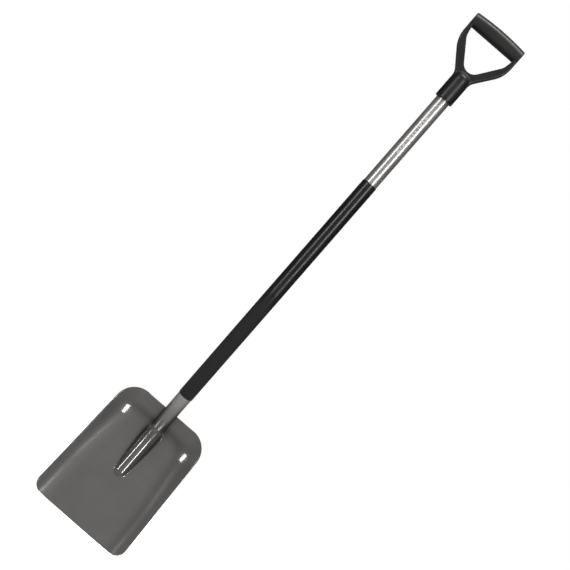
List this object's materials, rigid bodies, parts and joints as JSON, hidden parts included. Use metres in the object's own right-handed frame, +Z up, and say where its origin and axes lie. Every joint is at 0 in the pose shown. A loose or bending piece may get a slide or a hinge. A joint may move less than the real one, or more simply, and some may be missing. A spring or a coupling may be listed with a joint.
{
  "type": "square-mouth garden shovel",
  "caption": "Square-mouth steel garden shovel with raised back and sides, pressed frog, cranked tube shaft, plastic sleeve and moulded D-handle.",
  "frame": {"origin": "middle of the cutting edge, where the upper shaft's line meets it", "axes": "+Z up along the upper shaft towards the D-handle, -Y out of the blade's hollow front face, X across the blade"},
  "size_m": [0.2224, 0.113, 1.2708],
  "materials": {
    "blade_steel": "glossy metallic grey paint on pressed steel",
    "tube_steel": "glossy silver-grey metallic paint on steel tube",
    "sleeve_plastic": "satin black",
    "yoke_plastic": "moulded, satin with fine texture",
    "grip_rubber": "soft-touch, satin",
    "screw_steel": "zinc plated"
  },
  "bodies": {
    "root": {"blade": "blade_steel", "shaft_tube": "tube_steel", "front_weld": "blade_steel", "rear_weld": "blade_steel", "tube_end_plug": "sleeve_plastic", "shaft_sleeve": "sleeve_plastic", "handle_yoke": "yoke_plastic", "grip_cover": "grip_rubber", "handle_screw": "screw_steel"}
  },
  "joints": []
}
